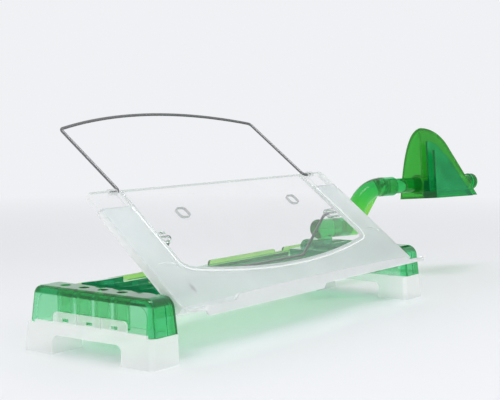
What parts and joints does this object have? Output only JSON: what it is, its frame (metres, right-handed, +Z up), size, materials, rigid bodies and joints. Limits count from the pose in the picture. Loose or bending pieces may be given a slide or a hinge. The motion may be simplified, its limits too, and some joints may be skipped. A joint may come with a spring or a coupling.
{
  "type": "document holder",
  "caption": "In-line desk document holder: hinged clear easel on a green base with wire bails, and a side arm whose bar carries a tiered note clip.",
  "frame": {"origin": "on the desk plane, midway between the two feet along X and at the middle of their depth", "axes": "+X towards the end with the side arm, +Y to the back, +Z up"},
  "size_m": [0.6862, 0.2225, 0.2044],
  "materials": {
    "green_plastic": "translucent, polished",
    "thin_green_plastic": "translucent, polished",
    "frosted_plastic": "frosted, translucent",
    "clear_plastic": "clear, polished",
    "steel_wire": "drawn wire"
  },
  "bodies": {
    "base": {"left_leg": "green_plastic", "right_leg": "green_plastic", "left_foot": "frosted_plastic", "right_foot": "frosted_plastic", "deck": "green_plastic", "deck_stop_1": "green_plastic", "deck_stop_2": "green_plastic", "deck_stop_3": "green_plastic", "deck_stop_4": "green_plastic", "left_back_rail": "thin_green_plastic", "right_back_rail": "thin_green_plastic", "left_rack": "green_plastic", "right_rack": "green_plastic"},
    "easel": {"easel_frame": "frosted_plastic", "window_panel": "clear_plastic", "document_ledge": "frosted_plastic", "left_corner_block": "clear_plastic", "right_corner_block": "clear_plastic", "left_strut_clip": "clear_plastic", "right_strut_clip": "clear_plastic", "left_hinge_pin": "steel_wire", "right_hinge_pin": "steel_wire"},
    "extension": {"extension_bail": "steel_wire"},
    "support": {"support_bail": "steel_wire"},
    "post": {"arm_post": "green_plastic", "swivel_sleeve": "green_plastic"},
    "arm": {"upper_arm": "green_plastic", "bar_collar": "green_plastic"},
    "bar": {"clip_bar": "green_plastic", "bar_knob": "green_plastic"},
    "clip": {"note_clip": "green_plastic"}
  },
  "joints": [
    {"name": "easel_tilt", "type": "hinge", "parent": "base", "child": "easel", "pos_m": [0, -0.056, 0.053], "axis": [1, 0, 0], "range_deg": [0, 30]},
    {"name": "support_swing", "type": "hinge", "parent": "easel", "child": "support", "pos_m": [0, -0.00908, 0.09603], "axis": [1, 0, 0], "range_deg": [-60.5, 0]},
    {"name": "extension_fold", "type": "hinge", "parent": "easel", "child": "extension", "pos_m": [0, 0.03232, 0.13555], "axis": [1, 0, 0], "range_deg": [0, 165]},
    {"name": "arm_swivel", "type": "hinge", "parent": "base", "child": "post", "pos_m": [0.21, 0.042, 0.0575], "axis": [0, 0, 1], "range_deg": [-35, 75]},
    {"name": "arm_roll", "type": "hinge", "parent": "post", "child": "arm", "pos_m": [0.21, 0.042, 0.0703], "axis": [0.9613, -0.2756, 0], "range_deg": [-30, 30]},
    {"name": "bar_turn", "type": "hinge", "parent": "arm", "child": "bar", "pos_m": [0.21, 0.042, 0.1142], "axis": [0.9613, -0.2756, 0], "range_deg": [-90, 90]},
    {"name": "clip_slide", "type": "slide", "parent": "bar", "child": "clip", "axis": [0.9613, -0.2756, 0], "range_m": [-0.043, 0]}
  ],
  "couplings": [
    {"joint": "support_swing", "follows": "easel_tilt", "ratio": -2}
  ]
}
